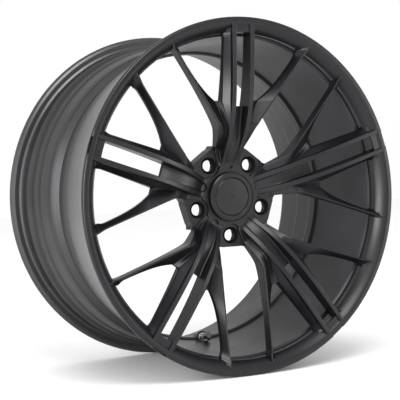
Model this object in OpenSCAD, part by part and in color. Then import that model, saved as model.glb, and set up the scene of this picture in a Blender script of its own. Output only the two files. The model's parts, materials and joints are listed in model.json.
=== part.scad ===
// Forged racing wheel: a deep barrel, a notched outer lip, five twin-rail spokes
// that each fork into two branches, a five-lug hub, a snap-in centre cap and a
// clamp-in tyre valve. The wheel spins about Y and its face looks towards -Y.

/* [Rim] */
// Diameter over the tyre flanges
flange_d = 543; // [541:1:545]
// Width over both flanges
rim_w = 302.6; // [298:0.1:306]
// Radius of the tyre bead seats
seat_r = 253.8; // [253.4:0.1:254.2]

/* [Face] */
// Gap between the two rails of a spoke, at the lip
slot_w = 24.8; // [22:0.2:27]
// Width of a rail's flat top
rail_w = 7; // [6:0.5:8]
// Distance from a branch's ridge to the line midway between two spokes
branch_offset = 37; // [35:0.5:39]
// How much deeper the face is at the hub than at the lip
dish = 57; // [52:1:60]
// Length scale of the dish: how quickly it deepens towards the hub
dish_run = 50; // [46:1:54]

/* [Hub] */
// Depth of the hub's mounting face behind the outer edge of the lip
mount_depth = 76; // [74:0.5:80]
// Pitch circle diameter of the lug holes
pcd = 120; // [114.3:0.1:120]
// Diameter of a lug hole's throat
lug_d = 17.4; // [16:0.2:19]
// Diameter of the bore that centres the wheel on the axle hub
bore_d = 66.6; // [64:0.1:67]

/* [Centre cap] */
// Outer diameter of the cap's ring
cap_d = 76; // [75:0.5:76.4]
// Height of the cap's front over the hub face
cap_h = 10; // [8:0.5:12]

/* [Valve] */
// Lean of the valve towards the axle
valve_lean = 15; // [12:1:18]
// Radius at which the valve leaves the barrel
valve_r = 231; // [230:0.5:232]

/* [Hidden] */
$fn = 96;
SPOKES = 5;
pitch = 360 / SPOKES;

flange_r = flange_d / 2;
front_edge = 3;                    // the lip's front stands this far before its widest circle
z0 = rim_w / 2 - front_edge;       // height of the widest circle of the lip
face_r = 248.6;                    // the spokes end and the lip begins
lip_back = 27;                     // depth where the lip ends and the barrel begins
hub_depth = 55.5;                  // depth of the hub's lug pads
ring_depth = 52.5;                 // depth of the raised ring round the centre cap
hub_r = 75;
pad_r = 78;
pad_w = 31;
fork_v = 146;                      // the branches leave the rails here
root_v = 48;                       // the spokes rise out of the hub's ring here
web_v = 138.4;                     // the channel floor ends and the slot begins
tip_v = 236;

// Everything is drawn lying on its back, face up, then stood up. Depths are
// measured down from the widest circle of the lip.
function z(depth) = z0 - depth;
function smooth(t) = let(c = min(1, max(0, t))) c * c * (3 - 2 * c);

// Face of the spokes, as depths: rail tops, channel floor, branch ridges, backs
function dish_d(v) = dish * exp(-(v - 55) / dish_run) - 3.4;
function top_d(v) = dish_d(v) - (dish_d(root_v) - ring_depth) * exp(-(v - root_v) / 8);
function floor_d(v) = min(hub_depth - 0.5, top_d(v) + 3 + 16 * smooth((v - 55) / 75));
function ridge_d(u, v) = min(ring_depth + 0.6, 0.1345 * (262 - norm([u, v]))
    + 21.5 * pow(max(0, (112 - v) / 32), 1.3));
function back_d(u, v) = 15 + 59 * exp(-(norm([u, v]) - 60) / 80);

// Plan of half a spoke: v runs out along the spoke, u to its side
function rail_in(v) = slot_w / 2 - 5.3 * exp(-(v - 55) / 60);
function rail_out(v) = rail_in(v) + rail_w;
function ridge_u(v) = let(
    straight = (v * sin(pitch / 2) - branch_offset) / cos(pitch / 2),
    root = 26.3 + 0.2 * (v - 80),
    gap = straight - root) (straight + root + sqrt(gap * gap + 9)) / 2;
ridge_w = 2.6;
function side_run(v) = 6.5 + 3.5 * (250 - v) / 104;
function side_drop(v) = 21 - 5 * (250 - v) / 104;
function branch_w(v) = 8.5 + 15.5 * exp(-(v - fork_v) / 18);
function branch_d(u, v) = back_d(u, v) - 6.5;   // where a branch's slope ends

// Cross-sections of half a spoke at distance v
function fork_section(v) = let(
    k = max(0.04, (v - 95) / (fork_v - 95)),
    a = rail_in(v), b = rail_out(v), r = ridge_u(v),
    valley = b + side_run(fork_v) * k, drop = side_drop(fork_v) * k,
    far = valley + (r - ridge_w - valley) * 0.3 * k + 0.2,
    crown = max(top_d(v), ridge_d(r, v)) - 0.3)
    [[a, v, z(top_d(v))], [b, v, z(top_d(v))], [valley, v, z(top_d(v) + drop)],
     [far, v, z(crown + (branch_d(far, v) - crown) * k)],
     [r - ridge_w, v, z(ridge_d(r, v))], [r, v, z(ridge_d(r, v))],
     [r, v, z(back_d(r, v))], [a, v, z(back_d(a, v))]];
function rail_section(v) = let(a = rail_in(v), b = rail_out(v), c = b + side_run(v))
    [[a, v, z(top_d(v))], [b, v, z(top_d(v))], [c, v, z(top_d(v) + side_drop(v))],
     [c, v, z(back_d(c, v))], [a, v, z(back_d(a, v))]];
function branch_section(v) = let(r = ridge_u(v), c = r - branch_w(v))
    [[c, v, z(branch_d(c, v))], [r - ridge_w, v, z(ridge_d(r, v))],
     [r, v, z(ridge_d(r, v))], [r, v, z(back_d(r, v))], [c, v, z(back_d(c, v))]];
function web_section(v) = let(a = rail_in(v) + 3)
    [[-a, v, z(floor_d(v))], [a, v, z(floor_d(v))],
     [a, v, z(back_d(a, v) - 4)], [-a, v, z(back_d(a, v) - 4)]];
// The space between two rails at the lip
function block_section(v) = let(a = rail_in(v))
    [[-a, v, z(-9)], [a, v, z(-9)], [a, v, z(20)], [-a, v, z(20)]];

function stations(from, to, count) = [for (i = [0:count]) from + (to - from) * i / count];

// A solid through cross-sections that all have the same number of points
module loft(sections) {
    n = len(sections);
    m = len(sections[0]);
    sides = [for (i = [0:n - 2], j = [0:m - 1])
        let(a = i * m + j, b = i * m + (j + 1) % m) each [[a, b + m, b], [a, a + m, b + m]]];
    ends = [[for (j = [0:m - 1]) j], [for (j = [m - 1:-1:0]) (n - 1) * m + j]];
    polyhedron([for (s = sections) each s], concat(sides, ends), convexity = 6);
}

module stand() { rotate([90, 0, 0]) children(); }
module at_spoke(k) { rotate(-pitch * (k - 1)) children(); }
module both_sides() { children(); mirror([1, 0, 0]) children(); }
module disc(r, top, bottom) { translate([0, 0, z(bottom)]) cylinder(r = r, h = bottom - top); }

module half_branch(from, to) {
    loft([for (v = stations(from, to, 8)) branch_section(v)]);
}

module half_rail(from, to) {
    loft([for (v = stations(from, to, 7)) rail_section(v)]);
}

// Root of a spoke: where its two rails and two branches run together, with the
// channel between them
module spoke(k) {
    stand() at_spoke(k) difference() {
        intersection() {
            union() {
                both_sides() loft([for (v = stations(root_v, fork_v, 16)) fork_section(v)]);
                loft([for (v = stations(root_v, web_v, 12)) web_section(v)]);
            }
            translate([-100, 0, z(mount_depth)]) cube([200, 200, mount_depth]);
        }
        hub_blank();
        lug_clearance();
    }
}

module rail(k, side) {
    stand() at_spoke(k) mirror([side < 0 ? 1 : 0, 0, 0]) trim_to_lip()
        half_rail(fork_v, 266);
}

module branch(k, side) {
    stand() at_spoke(k) mirror([side < 0 ? 1 : 0, 0, 0]) trim_to_lip()
        half_branch(fork_v, tip_v + 4);
}

module spoke_colour() { color([0.13, 0.13, 0.14]) children(); }
module spoke_1() { spoke_colour() spoke(1); }
module spoke_2() { spoke_colour() spoke(2); }
module spoke_3() { spoke_colour() spoke(3); }
module spoke_4() { spoke_colour() spoke(4); }
module spoke_5() { spoke_colour() spoke(5); }
module lip_block_1() { spoke_colour() lip_block(1); }
module lip_block_2() { spoke_colour() lip_block(2); }
module lip_block_3() { spoke_colour() lip_block(3); }
module lip_block_4() { spoke_colour() lip_block(4); }
module lip_block_5() { spoke_colour() lip_block(5); }
module rail_1_left() { spoke_colour() rail(1, -1); }
module rail_1_right() { spoke_colour() rail(1, 1); }
module rail_2_left() { spoke_colour() rail(2, -1); }
module rail_2_right() { spoke_colour() rail(2, 1); }
module rail_3_left() { spoke_colour() rail(3, -1); }
module rail_3_right() { spoke_colour() rail(3, 1); }
module rail_4_left() { spoke_colour() rail(4, -1); }
module rail_4_right() { spoke_colour() rail(4, 1); }
module rail_5_left() { spoke_colour() rail(5, -1); }
module rail_5_right() { spoke_colour() rail(5, 1); }
module branch_1_left() { spoke_colour() branch(1, -1); }
module branch_1_right() { spoke_colour() branch(1, 1); }
module branch_2_left() { spoke_colour() branch(2, -1); }
module branch_2_right() { spoke_colour() branch(2, 1); }
module branch_3_left() { spoke_colour() branch(3, -1); }
module branch_3_right() { spoke_colour() branch(3, 1); }
module branch_4_left() { spoke_colour() branch(4, -1); }
module branch_4_right() { spoke_colour() branch(4, 1); }
module branch_5_left() { spoke_colour() branch(5, -1); }
module branch_5_right() { spoke_colour() branch(5, 1); }

// A turned ring from [radius, depth] points
module turned(points) {
    rotate_extrude($fn = 180) polygon([for (p = points) [p[0], z(p[1])]]);
}
function arc(cx, cd, r, from, to, steps) =
    [for (i = [0:steps]) let(t = from + (to - from) * i / steps) [cx + r * cos(t), cd + r * sin(t)]];

// Flange tip, cove and bead seat of the front of the rim
module lip_body() {
    turned(concat(
        [[face_r, lip_back], [face_r, 12.7], [251.6, 8], [255.4, 3.4], [259.2, 0],
         [262.6, -2.4], [264, -front_edge], [269, -front_edge]],
        arc(flange_r - 3, 0, 3, -80, 0, 4),
        [[flange_r, 3.4], [flange_r - 2.5, 6.8], [flange_r - 6, 8.4], [seat_r + 5, 8.8],
         [seat_r + 1.6, 10.6], [seat_r, 14.5], [seat_r - 0.5, lip_back]]));
}
module outer_lip() {
    spoke_colour() stand() difference() {
        lip_body();
        // the notch in the rim between the rails
        for (k = [1:SPOKES]) at_spoke(k)
            translate([-rail_in(250), flange_r - 2.4, z(1)]) cube([2 * rail_in(250), 6, 12]);
    }
}

// What a rail or a branch loses where it runs on over the lip's cove
module trim_to_lip() {
    difference() {
        intersection() {
            children();
            union() {
                disc(face_r, -10, 90);
                disc(253, -10, 13);
                disc(265, -10, 5);
            }
        }
        lip_body();
    }
}

// Filling of the cove between the two rails of a spoke, a little lower than they are
module lip_block(k) {
    stand() at_spoke(k) intersection() {
        turned([[face_r, 12.7], [251.6, 8], [255.4, 3.4], [259.2, 0], [face_r, 0]]);
        loft([for (v = [face_r - 9, 266]) block_section(v)]);
    }
}

// The barrel runs from behind the lip to the rear bead seat
split_d = 261;
split_r = 246.3;
module barrel() {
    color([0.2, 0.21, 0.22]) stand() difference() {
        union() {
            turned([
                [face_r, lip_back], [seat_r - 0.5, lip_back], [seat_r - 1.9, 36],
                [seat_r + 1.7, 40], [seat_r + 1.2, 43], [250.6, 47], [249, 60], [246, 108],
                [244.8, 111], [244.8, 115], [245.6, 118], [239.2, 149], [234.6, 160],
                [234.6, 176], [244, 188], [246, 196], [247, 226], [249.6, 231], [250.4, 251],
                [seat_r + 1.4, 258], [seat_r + 1.7, split_d], [split_r, split_d],
                [245.6, 255], [244, 235], [241.6, 229], [239, 190],
                [229.6, 172], [229.6, 158], [231.4, 154.5], [232.2, 153.2], [233.5, 152.4],
                [245.4, 29.5]]);
            at_valve() translate([0, 0, -16]) cylinder(r = 10.5, h = 16);
        }
        at_valve() {
            translate([0, 0, -60]) cylinder(d = valve_hole_d, h = 90);
            translate([0, 0, 0]) cylinder(r = 10.5, h = 12);
            translate([0, 0, -40]) cylinder(r = 10.5, h = 24);
        }
    }
}

// Bead seat and flange at the back of the rim
module rear_flange() {
    color([0.2, 0.21, 0.22]) stand() turned([
        [split_r, split_d], [seat_r + 1.7, split_d], [seat_r - 1.9, 265], [seat_r, 282.1],
        [seat_r + 1.6, 286], [seat_r + 5, 287.8], [flange_r - 6, 288.2],
        [flange_r - 2.5, 289.8], [flange_r, 293.2], [flange_r, 296.6],
        [flange_r - 1.2, 298.8], [flange_r - 3, 299.6], [262, 299.6], [256, 298],
        [251.6, 295], [249.6, 290]]);
}

// The solid hub before its bores, which the spokes also end against
module hub_blank() {
    flat = hub_r * cos(180 / (2 * SPOKES));
    corner = flat * tan(180 / (2 * SPOKES));
    outline = [for (k = [0:SPOKES - 1]) let(t = 90 - pitch / 2 - pitch * k)
        each [for (p = [[flat, corner], [pad_r + 1, 25.5], [pad_r - 0.8, 19.5],
            [pad_r, pad_w / 2 - 1], [pad_r, 1 - pad_w / 2], [pad_r - 0.8, -19.5],
            [pad_r + 1, -25.5], [flat, -corner]])
            [p[0] * cos(t) - p[1] * sin(t), p[0] * sin(t) + p[1] * cos(t)]]];
    translate([0, 0, z(mount_depth)]) linear_extrude(mount_depth - hub_depth) polygon(outline);
}

// Raised ring round the centre cap, with a flat for each spoke to grow out of
module hub_ring() {
    translate([0, 0, z(hub_depth + 4)])
        cylinder(r = root_v / cos(18), h = hub_depth + 4 - ring_depth, $fn = 10);
}
module at_lugs() {
    for (k = [0:SPOKES - 1]) rotate(90 - pitch / 2 - pitch * k) translate([pcd / 2, 0, 0])
        children();
}
// Room for a socket round each lug hole
module lug_clearance() { at_lugs() disc(18, 30, hub_depth); }

cap_bore_r = 31;
cap_bore_end = 65;
module hub() {
    spoke_colour() stand() difference() {
        union() {
            hub_blank();
            difference() {
                hub_ring();
                lug_clearance();
            }
        }
        disc(cap_d / 2 + 0.6, 30, hub_depth);
        disc(cap_bore_r, 40, 90);
        disc(bore_d / 2, cap_bore_end, 90);
        at_lugs() lug_bore();
        // the round end of each spoke's channel
        for (k = [1:SPOKES]) at_spoke(k) translate([0, root_v + 1.4, z(hub_depth - 0.5)])
            cylinder(r = 6.4, h = 10);
    }
}
// Socket pocket, conical seat, throat and rear relief of a lug hole
module lug_bore() {
    seat_top = hub_depth + 1.5;
    throat_top = seat_top + 2.5;
    relief_top = throat_top + 2;
    turned([[0, hub_depth - 9], [13.8, hub_depth - 9], [13.8, seat_top], [12.8, seat_top],
        [lug_d / 2, throat_top], [lug_d / 2, relief_top], [13.8, relief_top],
        [13.8, mount_depth + 9], [0, mount_depth + 9]]);
}

// Centre cap: a stepped ring, a plain badge and a wire snap ring
cap_top = hub_depth - cap_h;
skirt_r = 30.2;
skirt_end = 64;
module cap_shell() {
    color([0.16, 0.16, 0.17]) stand() difference() {
        rotate_extrude() polygon([for (p = [
            [0, cap_top + 3], [29.6, cap_top + 3], [29.6, cap_top + 0.6], [30.4, cap_top],
            [35, cap_top], [cap_d / 2, cap_top + 1.6], [cap_d / 2, hub_depth - 0.3],
            [skirt_r, hub_depth - 0.3], [skirt_r, 60.8], [29.2, 60.8], [29.2, 62.6],
            [skirt_r, 62.6], [skirt_r - 0.6, skirt_end], [26.8, skirt_end],
            [26.8, cap_top + 6], [0, cap_top + 6]]) [p[0], z(p[1])]]);
        // slots that let the skirt flex
        for (k = [0:7]) rotate(k * 45) translate([24, -1.5, z(skirt_end + 1)])
            cube([8, 3, 6]);
    }
}
module cap_badge() {
    color([0.2, 0.2, 0.21]) stand() rotate_extrude() polygon([for (p = [
        [0, cap_top + 0.4], [27.6, cap_top + 0.7], [28.9, cap_top + 1.4],
        [28.9, cap_top + 3], [0, cap_top + 3]]) [p[0], z(p[1])]]);
}
wire_r = 0.65;
module cap_snap_ring() {
    color([0.6, 0.6, 0.62]) stand() translate([0, 0, z(61.7)]) rotate([0, 0, 8])
        rotate_extrude(angle = 344) translate([30.7 - wire_r, 0]) circle(r = wire_r, $fn = 24);
}

// Clamp-in valve. Its axis runs through the barrel, tip towards the face.
valve_depth = 156;
valve_hole_d = 11.5;
wall = 16;
module at_valve() {
    translate([0, -valve_r, z(valve_depth)]) rotate([-valve_lean, 0, 0]) children();
}
stem_r = 4.2;
core_r = 2.6;
module valve_stem() {
    color([0.55, 0.55, 0.57]) stand() at_valve() difference() {
        rotate_extrude() polygon([[0, -wall - 5], [7, -wall - 5], [8, -wall - 4],
            [8, -wall - 2.6], [stem_r, -wall - 2.6], [stem_r, 9], [3.85, 9.4], [3.85, 19],
            [3.4, 19.4], [0, 19.4]]);
        translate([0, 0, -wall - 6]) cylinder(r = 1.6, h = 40);
        translate([0, 0, 4]) cylinder(r = core_r, h = 20);
    }
}
module valve_grommet() {
    color([0.05, 0.05, 0.05]) stand() at_valve() rotate_extrude() polygon([
        [stem_r, -wall - 2.6], [9, -wall - 2.6], [9, -wall], [valve_hole_d / 2, -wall],
        [valve_hole_d / 2, 0], [stem_r, 0]]);
}
module valve_washer() {
    color([0.55, 0.55, 0.57]) stand() at_valve() difference() {
        cylinder(r = 8, h = 1.2);
        translate([0, 0, -1]) cylinder(r = stem_r, h = 4);
    }
}
module valve_nut() {
    color([0.5, 0.5, 0.52]) stand() at_valve() difference() {
        intersection() {
            translate([0, 0, 1.2]) cylinder(r = 7.5, h = 5, $fn = 6);
            translate([0, 0, 1.2]) cylinder(r1 = 8.6, r2 = 6.6, h = 5);
        }
        cylinder(r = stem_r, h = 10);
    }
}
// Core barrel screwed into the stem, with its sprung pin
module valve_core() {
    color([0.75, 0.6, 0.3]) stand() at_valve() difference() {
        translate([0, 0, 4]) cylinder(r = core_r, h = 14.6);
        translate([0, 0, 3]) cylinder(r = 0.7, h = 20);
        translate([0, 0, 6]) cylinder(r = 2, h = 8);
    }
}
pin_r = 0.6;
module valve_core_pin() {
    color([0.8, 0.7, 0.4]) stand() at_valve() union() {
        translate([0, 0, 2.6]) cylinder(r = pin_r, h = 16.2);
        translate([0, 0, 12.6]) cylinder(r = 1.5, h = 0.6);
        translate([0, 0, 2.6]) cylinder(r = 1.4, h = 1);
    }
}
spring_wire = 0.22;
module valve_core_spring() {
    turns = 4;
    steps = turns * 10;
    rise = 4.4;
    color([0.7, 0.7, 0.72]) stand() at_valve() translate([0, 0, 6.4])
        loft([for (i = [0:steps]) let(t = 360 * turns * i / steps, h = rise * i / steps)
            [for (j = [0:5]) let(q = -60 * j)
                [(1.35 + spring_wire * cos(q)) * cos(t), (1.35 + spring_wire * cos(q)) * sin(t),
                 h + spring_wire * sin(q)]]]);
}
module valve_cap() {
    color([0.3, 0.3, 0.31]) stand() at_valve() difference() {
        union() {
            translate([0, 0, 10]) cylinder(r = 5, h = 11.4);
            translate([0, 0, 21.4]) cylinder(r1 = 5, r2 = 4.2, h = 0.8);
        }
        translate([0, 0, 9]) cylinder(r = 3.95, h = 11.9);
        for (k = [0:11]) rotate(k * 30) translate([5.2, 0, 11]) cylinder(r = 0.6, h = 9, $fn = 16);
    }
}
module valve_cap_seal() {
    color([0.05, 0.05, 0.05]) stand() at_valve() difference() {
        translate([0, 0, 19.9]) cylinder(r = 3.9, h = 0.9);
        translate([0, 0, 19]) cylinder(r = 1.6, h = 3);
    }
}

barrel();
rear_flange();
outer_lip();
hub();
spoke_1();
spoke_2();
spoke_3();
spoke_4();
spoke_5();
lip_block_1();
lip_block_2();
lip_block_3();
lip_block_4();
lip_block_5();
rail_1_left();
rail_1_right();
rail_2_left();
rail_2_right();
rail_3_left();
rail_3_right();
rail_4_left();
rail_4_right();
rail_5_left();
rail_5_right();
branch_1_left();
branch_1_right();
branch_2_left();
branch_2_right();
branch_3_left();
branch_3_right();
branch_4_left();
branch_4_right();
branch_5_left();
branch_5_right();
cap_shell();
cap_badge();
cap_snap_ring();
valve_stem();
valve_grommet();
valve_washer();
valve_nut();
valve_core();
valve_core_pin();
valve_core_spring();
valve_cap();
valve_cap_seal();
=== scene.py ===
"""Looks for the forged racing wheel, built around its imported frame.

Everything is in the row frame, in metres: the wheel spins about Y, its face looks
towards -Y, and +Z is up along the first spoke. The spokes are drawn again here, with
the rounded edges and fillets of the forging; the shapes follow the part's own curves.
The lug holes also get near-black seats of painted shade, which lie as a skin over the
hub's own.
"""

import json
import math

import bpy
from mathutils import Matrix, Vector


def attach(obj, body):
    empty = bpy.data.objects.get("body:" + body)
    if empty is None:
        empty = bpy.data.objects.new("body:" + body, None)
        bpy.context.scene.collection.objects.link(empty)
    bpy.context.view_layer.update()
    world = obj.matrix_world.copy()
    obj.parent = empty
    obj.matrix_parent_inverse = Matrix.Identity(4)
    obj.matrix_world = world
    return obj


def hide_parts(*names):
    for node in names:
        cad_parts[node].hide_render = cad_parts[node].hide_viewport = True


LIP_PLANE = -0.1483  # where the lip is widest
RIM_RADIUS = 0.2715
SPOKES = 5
PITCH = 360 / SPOKES

# The part's face, in millimetres: v runs out along a spoke, u to its side, and
# depths are measured from the lip's widest circle
SLOT = 24.8
RAIL = 7.0
RIDGE = 2.6
ROOT = 48.0
FORK = 146.0
WEB_END = 138.4
HUB_DEPTH = 55.5
RING_DEPTH = 52.5
MOUNT_DEPTH = 76.0
SPOKE_TIP = 262.0
BRANCH_TIP = 232.0
RAIL_FOOT = 248.0
BRANCH_FOOT = 222.0
BRANCH_THICK = 6.5  # how far a branch's slope stops short of its back
COVE_R = 250.5  # past this, spoke tips are held inside the lip
LUG_CIRCLE = 60.0
# The seats' cone, as (radius, depth): its face, then the same again inside the hub
SEAT = ((12.7, 56.95), (8.72, 59.4), (8.72, 59.8), (12.7, 57.4))


def smooth(t):
    c = min(1.0, max(0.0, t))
    return c * c * (3 - 2 * c)


def dish_d(v):
    return 57 * math.exp(-(v - 55) / 50) - 3.4


def top_d(v):
    return dish_d(v) - (dish_d(ROOT) - RING_DEPTH) * math.exp(-(v - ROOT) / 8)


def floor_d(v):
    return min(HUB_DEPTH - 0.5, top_d(v) + 3 + 16 * smooth((v - 55) / 75))


def ridge_d(u, v):
    rise = 0.1345 * (262 - math.hypot(u, v)) + 21.5 * max(0, (112 - v) / 32) ** 1.3
    return min(RING_DEPTH + 0.6, rise)


def back_d(u, v):
    return min(MOUNT_DEPTH, 15 + 59 * math.exp(-(math.hypot(u, v) - 60) / 80))


def rail_in(v):
    return SLOT / 2 - 5.3 * math.exp(-(v - 55) / 60)


def ridge_u(v):
    half = math.radians(PITCH / 2)
    straight = (v * math.sin(half) - 37) / math.cos(half)
    root = 26.3 + 0.2 * (v - 80)
    gap = straight - root
    return (straight + root + math.sqrt(gap * gap + 9)) / 2


def side_run(v):
    return 6.5 + 3.5 * (250 - v) / 104


def side_drop(v):
    return 21 - 5 * (250 - v) / 104


def branch_w(v):
    return 8.5 + 15.5 * math.exp(-(v - FORK) / 18)


def nodes_of(material):
    """The material's nodes, links and its Principled shader."""
    material.use_nodes = True
    tree = material.node_tree
    return tree.nodes, tree.links, tree.nodes["Principled BSDF"]


def noise(nodes, links, vector, scale, detail=4.0, rough=0.55):
    node = nodes.new("ShaderNodeTexNoise")
    node.inputs["Scale"].default_value = scale
    node.inputs["Detail"].default_value = detail
    node.inputs["Roughness"].default_value = rough
    links.new(vector, node.inputs["Vector"])
    return node.outputs["Fac"]


def spread(nodes, links, value, low, high, start=0.35, end=0.65):
    """value, from start to end, mapped to low to high."""
    node = nodes.new("ShaderNodeMapRange")
    node.inputs["From Min"].default_value = start
    node.inputs["From Max"].default_value = end
    node.inputs["To Min"].default_value = low
    node.inputs["To Max"].default_value = high
    links.new(value, node.inputs["Value"])
    return node.outputs["Result"]


def two_tone(nodes, links, value, dark, light):
    """Mixes two colours, each either fixed or another node's output."""
    node = nodes.new("ShaderNodeMix")
    node.data_type = "RGBA"
    for socket, colour in (("A", dark), ("B", light)):
        if isinstance(colour, tuple):
            node.inputs[socket].default_value = (*colour, 1)
        else:
            links.new(colour, node.inputs[socket])
    links.new(value, node.inputs["Factor"])
    return node.outputs["Result"]


def bump(nodes, links, height, strength, distance, under=None):
    node = nodes.new("ShaderNodeBump")
    node.inputs["Strength"].default_value = strength
    node.inputs["Distance"].default_value = distance
    links.new(height, node.inputs["Height"])
    if under:
        links.new(under, node.inputs["Normal"])
    return node.outputs["Normal"]


def paint(name, dark, light, rough, peel=0.05, coat=0.1, gloss=0.5):
    """Sprayed satin paint: a little orange peel and uneven, patchy gloss."""
    material = bpy.data.materials.new(name)
    nodes, links, shader = nodes_of(material)
    where = nodes.new("ShaderNodeTexCoord").outputs["Object"]
    patches = noise(nodes, links, where, 14, 5)
    grain = noise(nodes, links, where, 900, 2)
    links.new(two_tone(nodes, links, patches, dark, light), shader.inputs["Base Color"])
    links.new(
        spread(nodes, links, patches, rough - 0.05, rough + 0.07),
        shader.inputs["Roughness"],
    )
    links.new(bump(nodes, links, grain, peel, 0.0003), shader.inputs["Normal"])
    shader.inputs["Coat Weight"].default_value = coat
    shader.inputs["Coat Roughness"].default_value = 0.3
    shader.inputs["Specular IOR Level"].default_value = gloss
    return material


def barrel_finish(name):
    """Turned metal outside, with soft bands of painted light and shade and painted
    shade towards the back; painted dark inside.
    """
    material = bpy.data.materials.new(name)
    nodes, links, shader = nodes_of(material)
    where = nodes.new("ShaderNodeTexCoord").outputs["Object"]
    stretch = nodes.new("ShaderNodeMapping")
    stretch.inputs["Scale"].default_value = (4, 1400, 4)
    links.new(where, stretch.inputs["Vector"])
    rings = noise(nodes, links, stretch.outputs["Vector"], 1.0, 2)
    patches = noise(nodes, links, where, 10, 5)
    # outward-facing surfaces are bare: the normal against the direction from the axis
    flat = nodes.new("ShaderNodeVectorMath")
    flat.operation = "MULTIPLY"
    flat.inputs[1].default_value = (1, 0, 1)
    links.new(where, flat.inputs[0])
    out = nodes.new("ShaderNodeVectorMath")
    out.operation = "NORMALIZE"
    links.new(flat.outputs["Vector"], out.inputs[0])
    facing = nodes.new("ShaderNodeVectorMath")
    facing.operation = "DOT_PRODUCT"
    links.new(out.outputs["Vector"], facing.inputs[0])
    links.new(nodes.new("ShaderNodeNewGeometry").outputs["Normal"], facing.inputs[1])
    outside = spread(nodes, links, facing.outputs["Value"], 0, 1, -0.15, 0.05)
    inner = two_tone(
        nodes, links, patches, (0.024, 0.0245, 0.029), (0.032, 0.0325, 0.038)
    )
    # painted light and shade: soft bands along the width, and painted shade making it
    # darker towards the back
    depth = nodes.new("ShaderNodeSeparateXYZ")
    links.new(where, depth.inputs["Vector"])
    broad = nodes.new("ShaderNodeMapping")
    broad.inputs["Scale"].default_value = (0, 55, 0)
    links.new(where, broad.inputs["Vector"])
    bands = noise(nodes, links, broad.outputs["Vector"], 1.0, 3)
    painted_shade_bands = two_tone(nodes, links, bands, (0.012, 0.012, 0.0125), (0.15, 0.15, 0.155))
    painted_light_front = spread(nodes, links, depth.outputs["Y"], 1, 0, -0.11, 0.01)
    outer = two_tone(nodes, links, painted_light_front, painted_shade_bands, (0.27, 0.27, 0.275))
    links.new(
        two_tone(nodes, links, outside, inner, outer), shader.inputs["Base Color"]
    )
    links.new(spread(nodes, links, outside, 0.0, 0.85, 0, 1), shader.inputs["Metallic"])
    links.new(spread(nodes, links, patches, 0.3, 0.42), shader.inputs["Roughness"])
    links.new(bump(nodes, links, rings, 0.2, 0.0002), shader.inputs["Normal"])
    return material


def machined(name, dark, light, rough):
    """Machined metal for small parts, with fine scratches."""
    material = bpy.data.materials.new(name)
    nodes, links, shader = nodes_of(material)
    where = nodes.new("ShaderNodeTexCoord").outputs["Object"]
    scratches = noise(nodes, links, where, 1500, 3)
    patches = noise(nodes, links, where, 120, 4)
    links.new(two_tone(nodes, links, patches, dark, light), shader.inputs["Base Color"])
    links.new(
        spread(nodes, links, scratches, rough - 0.06, rough + 0.1),
        shader.inputs["Roughness"],
    )
    links.new(bump(nodes, links, scratches, 0.1, 0.0001), shader.inputs["Normal"])
    shader.inputs["Metallic"].default_value = 1.0
    return material


def rubber(name):
    """Dull black rubber with a fine grain."""
    material = bpy.data.materials.new(name)
    nodes, links, shader = nodes_of(material)
    where = nodes.new("ShaderNodeTexCoord").outputs["Object"]
    grain = noise(nodes, links, where, 2500, 3)
    links.new(
        two_tone(nodes, links, grain, (0.01, 0.01, 0.01), (0.022, 0.022, 0.022)),
        shader.inputs["Base Color"],
    )
    links.new(spread(nodes, links, grain, 0.6, 0.8), shader.inputs["Roughness"])
    links.new(bump(nodes, links, grain, 0.2, 0.0001), shader.inputs["Normal"])
    return material


def soften(obj, width, angle=25):
    """Rounds the edges of a frame node as forging, machining and paint leave them."""
    weld = obj.modifiers.new("weld", "WELD")
    weld.merge_threshold = 1e-5
    bevel = obj.modifiers.new("edges", "BEVEL")
    bevel.width = width
    bevel.segments = 2
    bevel.limit_method = "ANGLE"
    bevel.angle_limit = math.radians(angle)
    bevel.use_clamp_overlap = True


def shade(obj, material):
    obj.data.materials.clear()
    obj.data.materials.append(material)


def rounded(points, radii, steps=3):
    """The closed outline with each corner cut to a smooth curve."""
    out = []
    n = len(points)
    for i, point in enumerate(points):
        before, after = points[i - 1], points[(i + 1) % n]
        to_before = math.dist(point, before)
        to_after = math.dist(point, after)
        a = min(radii[i], 0.45 * to_before) / max(to_before, 1e-6)
        b = min(radii[i], 0.45 * to_after) / max(to_after, 1e-6)
        start = [point[j] + (before[j] - point[j]) * a for j in (0, 1)]
        end = [point[j] + (after[j] - point[j]) * b for j in (0, 1)]
        for s in range(steps + 1):
            t = s / steps
            out.append(
                tuple(
                    start[j] * (1 - t) ** 2
                    + 2 * point[j] * t * (1 - t)
                    + end[j] * t * t
                    for j in (0, 1)
                )
            )
    return out


def place(u, v, depth, k):
    """A point of spoke k, in metres in the row frame; past the cove, inside the lip."""
    past = min(1.0, max(0.0, (math.hypot(u, v) - COVE_R) / 2))
    depth = min(depth, 22 - 17 * past) if past else depth
    turn = math.radians(PITCH * k)
    x = u * math.cos(turn) + v * math.sin(turn)
    z = v * math.cos(turn) - u * math.sin(turn)
    return (x / 1000, depth / 1000 + LIP_PLANE, z / 1000)


def new_piece(name, verts, faces, material):
    """A smooth-shaded mesh object, with its normals evened out by face area."""
    mesh = bpy.data.meshes.new(name)
    mesh.from_pydata(verts, [], faces)
    mesh.shade_smooth()
    obj = bpy.data.objects.new(name, mesh)
    bpy.context.scene.collection.objects.link(obj)
    even = obj.modifiers.new("even", "WEIGHTED_NORMAL")
    even.keep_sharp = True
    shade(obj, material)
    return obj


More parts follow.
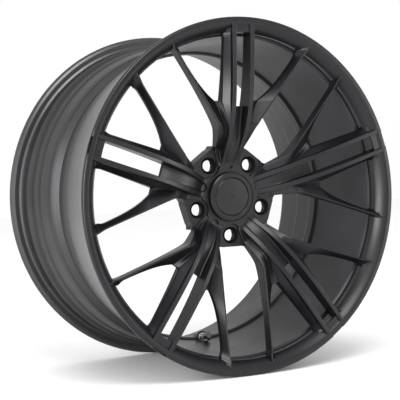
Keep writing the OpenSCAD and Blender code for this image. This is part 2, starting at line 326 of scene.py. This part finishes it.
def loft(name, stations, section, radii, k, material, mirror=False):
    """A mesh through rounded cross-sections (u, depth) at each distance v."""
    verts, faces = [], []
    side = -1 if mirror else 1
    for v in stations:
        outline = rounded(section(v), radii)
        verts += [place(side * u, v, depth, k) for u, depth in outline]
    m = len(outline)
    for i in range(len(stations) - 1):
        for j in range(m):
            a, b = i * m + j, i * m + (j + 1) % m
            quad = (a, b, b + m, a + m)
            faces.append(quad if mirror else quad[::-1])
    ends = list(range(m)), list(range((len(stations) - 1) * m, len(stations) * m))
    faces.append(tuple(ends[0][::-1] if mirror else ends[0]))
    faces.append(tuple(ends[1] if mirror else ends[1][::-1]))
    obj = new_piece(name, verts, faces, material)
    for end in obj.data.polygons[-2:]:
        end.use_smooth = False
    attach(obj, "wheel")
    return obj


def steps(start, end, count):
    return [start + (end - start) * i / count for i in range(count + 1)]


def fork_k(v):
    """How far the fork has opened, from 0 near the hub to 1."""
    return max(0.04, min(1.0, (v - 95) / (FORK - 95)))


def valley(v):
    """Where a rail's outer slope ends, out from the spoke's middle."""
    return rail_in(v) + RAIL + side_run(max(v, FORK)) * fork_k(v)


def slope_foot(v):
    """How deep a rail's outer slope ends."""
    k = fork_k(v)
    steep = top_d(v) + side_drop(max(v, FORK)) * k
    return min(steep, steep + (back_d(valley(v), v) - 6.0 - steep) * k)


def flare(v, lip, size):
    """How much a foot widens where it meets the lip."""
    return size * math.exp(-(((v - lip) / 6) ** 2))


def rail_section(v):
    a, c = rail_in(v), valley(v) + flare(v, RAIL_FOOT, 2.5)
    b = a + RAIL
    back = back_d((a + c) / 2, v)
    foot = slope_foot(v)
    step = 0.3 * (foot - top_d(v)) * fork_k(v)
    return [
        (a, top_d(v)),
        (b, top_d(v)),
        (b + 0.4, top_d(v) + step + 0.2),
        (c, max(foot, top_d(v) + step + 0.4)),
        (c, back),
        (a, back),
    ]


def far(v):
    """Where a branch's slope ends, towards its rail."""
    r = ridge_u(v)
    if v > FORK:
        return r - branch_w(v)
    k = fork_k(v)
    return valley(v) + (r - RIDGE - valley(v)) * 0.3 * k + 0.2


def branch_section(v):
    wider = flare(v, BRANCH_FOOT, 4)
    r, c = ridge_u(v) + 0.6 * wider, far(v) - wider
    ridge = ridge_d(r, v)
    crown = max(top_d(v), ridge) - 0.3
    foot = crown + (back_d(c, v) - BRANCH_THICK - crown) * fork_k(v)
    return [
        (c, foot),
        (r - RIDGE, ridge),
        (r, ridge),
        (r, back_d(r, v)),
        (c, back_d(c, v)),
    ]


def bridge_section(v):
    """The web between a rail and its branch, as far as the fork."""
    a, c = valley(v), far(v)
    k = fork_k(v)
    crown = max(top_d(v), ridge_d(ridge_u(v), v)) - 0.3
    near = slope_foot(v)
    foot = crown + (back_d(c, v) - BRANCH_THICK - crown) * k
    return [
        (a - 2, near + 0.05),
        (a, near + 0.05),
        (c, foot + 0.05),
        (c + 3, foot + 0.4),
        (c + 3, back_d(c, v)),
        (a - 2, back_d(a, v)),
    ]


def channel_section(v):
    """The channel floor, curving up into the rails on both sides."""
    a = rail_in(v) + 2
    floor, back = floor_d(v), back_d(0, v) - 4
    lift = min(3.0, floor - top_d(v) - 0.4)
    inner = rail_in(v)
    rise = []
    for t in (0.0, 0.25, 0.5, 0.75, 1.0):
        angle = t * math.pi / 2
        rise.append(
            (inner - 3 * (1 - math.sin(angle)), floor - lift * (1 - math.cos(angle)))
        )
    left = [(-u, depth) for u, depth in rise[::-1]]
    return left + rise + [(a, floor + 1), (a, back), (-a, back), (-a, floor + 1)]


def forge_spokes(material):
    for k in range(SPOKES):
        n = k + 1
        spoke = loft(
            f"spoke_{n}_channel",
            steps(ROOT, WEB_END, 40),
            channel_section,
            [0.3] * 14,
            k,
            material,
        )
        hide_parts(f"spoke_{n}")
        for side, word in ((False, "right"), (True, "left")):
            edge = [1.2, 1.0, 1.2, 1.5, 1.0, 1.0]
            rail = loft(
                f"spoke_{n}_rail_{word}",
                steps(ROOT, SPOKE_TIP, 84),
                rail_section,
                edge,
                k,
                material,
                side,
            )
            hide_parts(f"rail_{n}_{word}")
            branch = loft(
                f"spoke_{n}_branch_{word}",
                steps(ROOT, BRANCH_TIP, 84),
                branch_section,
                [1.2, 1.0, 1.0, 1.2, 0.8],
                k,
                material,
                side,
            )
            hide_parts(f"branch_{n}_{word}")
            loft(
                f"spoke_{n}_bridge_{word}",
                steps(ROOT, FORK + 0.5, 40),
                bridge_section,
                [0.2, 2.0, 2.0, 0.2, 0.2, 0.2],
                k,
                material,
                side,
            )


def lug_seat_shades(material):
    """Near-black seats of painted shade in the lug holes, a skin over the hub's own
    cones.
    """
    around = 72
    for k in range(SPOKES):
        turn = math.radians(PITCH * (k + 0.5))
        middle = (LUG_CIRCLE * math.sin(turn), LUG_CIRCLE * math.cos(turn))
        verts, faces = [], []
        for i in range(around):
            t = 2 * math.pi * i / around
            for r, depth in SEAT:
                x, z = middle[0] + r * math.cos(t), middle[1] + r * math.sin(t)
                verts.append((x / 1000, depth / 1000 + LIP_PLANE, z / 1000))
        for i in range(around):
            a, b = 4 * i, 4 * ((i + 1) % around)
            for j in range(4):
                n = (j + 1) % 4
                faces.append((a + j, a + n, b + n, b + j))
        seat = new_piece(f"lug_seat_{k + 1}", verts, faces, material)
        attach(seat, "wheel")


def camera():
    """The photograph's view: a little below eye level, from the left."""
    azimuth, elevation = math.radians(-28.860), math.radians(0.712)
    back = Vector(
        (
            math.sin(azimuth) * math.cos(elevation),
            -math.cos(azimuth) * math.cos(elevation),
            math.sin(elevation),
        )
    )
    right = Vector((math.cos(azimuth), math.sin(azimuth), 0))
    up = back.cross(right)
    spot = back * 1.786854 - right * 0.072512 - up * 0.004842
    spot.y += LIP_PLANE
    pose = Matrix((right, up, back)).transposed().to_4x4()
    pose.translation = spot
    data = bpy.data.cameras.new("camera")
    data.sensor_width = 36
    data.lens = 106.36
    data.clip_start, data.clip_end = 0.05, 50
    cam = bpy.data.objects.new("camera", data)
    bpy.context.scene.collection.objects.link(cam)
    # the wheel in the photograph is turned 2 degrees from spoke-up
    cam.matrix_world = Matrix.Rotation(math.radians(2), 4, "Y") @ pose
    bpy.context.scene.camera = cam


def area_light(name, spot, target, size, power, size_y=None):
    data = bpy.data.lights.new(name, "AREA")
    data.energy = power
    data.size = size
    if size_y:
        data.shape = "RECTANGLE"
        data.size_y = size_y
    light = bpy.data.objects.new(name, data)
    light.location = spot
    light.rotation_euler = (
        (Vector(target) - Vector(spot)).to_track_quat("-Z", "Y").to_euler()
    )
    bpy.context.scene.collection.objects.link(light)


def studio():
    world = bpy.data.worlds.new("studio")
    bpy.context.scene.world = world
    world.use_nodes = True
    world.node_tree.nodes["Background"].inputs["Color"].default_value = (1, 1, 1, 1)
    world.node_tree.nodes["Background"].inputs["Strength"].default_value = 1.0
    area_light("key", (-0.5, -1.6, 1.9), (0, 0, 0), 1.2, 30)
    area_light("left", (-2.2, -1.1, 0.3), (0, 0, 0), 0.9, 60, 1.6)
    area_light("right", (1.9, -1.5, -0.1), (0, 0, 0), 0.5, 22, 1.2)
    bpy.ops.mesh.primitive_plane_add(size=12, location=(0, 0, -RIM_RADIUS))
    floor = bpy.context.object
    floor.name = "floor"
    material = bpy.data.materials.new("floor")
    nodes, links, shader = nodes_of(material)
    shader.inputs["Base Color"].default_value = (0.95, 0.95, 0.95, 1)
    shader.inputs["Roughness"].default_value = 0.8
    floor.data.materials.append(material)
    bpy.context.scene.view_settings.view_transform = "Standard"
    bpy.context.scene.view_settings.gamma = 0.85


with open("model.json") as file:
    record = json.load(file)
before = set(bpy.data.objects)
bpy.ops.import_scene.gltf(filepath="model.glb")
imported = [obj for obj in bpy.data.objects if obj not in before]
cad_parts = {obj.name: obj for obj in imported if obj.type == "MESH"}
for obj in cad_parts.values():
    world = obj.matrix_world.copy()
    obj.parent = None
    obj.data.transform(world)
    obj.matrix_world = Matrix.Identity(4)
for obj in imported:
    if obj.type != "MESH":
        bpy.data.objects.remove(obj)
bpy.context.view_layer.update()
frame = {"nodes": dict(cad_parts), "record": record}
node = frame["nodes"]

face_paint = paint(
    "satin_black", (0.004, 0.0042, 0.0055), (0.008, 0.0083, 0.0105), 0.36
)
cap_paint = paint("cap_black", (0.005, 0.005, 0.0053), (0.009, 0.009, 0.0094), 0.33)
# painted shade: a near-black, dull paint for the lug seats, standing in for the shade
# inside the lug holes
seat_painted_shade = paint(
    "seat_shade_black", (0.001, 0.001, 0.001), (0.003, 0.003, 0.003), 0.5, 0.1, 0, 0.1
)
badge_paint = paint("badge_black", (0.012, 0.012, 0.013), (0.018, 0.018, 0.019), 0.3)

FINISH = {
    "face_paint": face_paint,
    "barrel_paint": barrel_finish("barrel_finish"),
    "cap_black": cap_paint,
    "badge_black": badge_paint,
    "spring_steel": machined(
        "spring_steel", (0.45, 0.45, 0.46), (0.6, 0.6, 0.61), 0.3
    ),
    "valve_metal": machined("valve_metal", (0.5, 0.5, 0.51), (0.65, 0.65, 0.66), 0.3),
    "valve_cap_metal": machined(
        "valve_cap_metal", (0.2, 0.2, 0.21), (0.3, 0.3, 0.31), 0.35
    ),
    "brass": machined("brass", (0.6, 0.45, 0.2), (0.75, 0.58, 0.28), 0.32),
    "rubber": rubber("rubber"),
}
for part in frame["record"]["subparts"]:
    name = part["node"]
    shade(node[name], FINISH[part["material_slot"]])
    if name.startswith(("lip_block", "outer_lip", "hub", "cap")):
        soften(node[name], 0.0007 if name == "hub" else 0.0004)
forge_spokes(face_paint)
lug_seat_shades(seat_painted_shade)

camera()
studio()
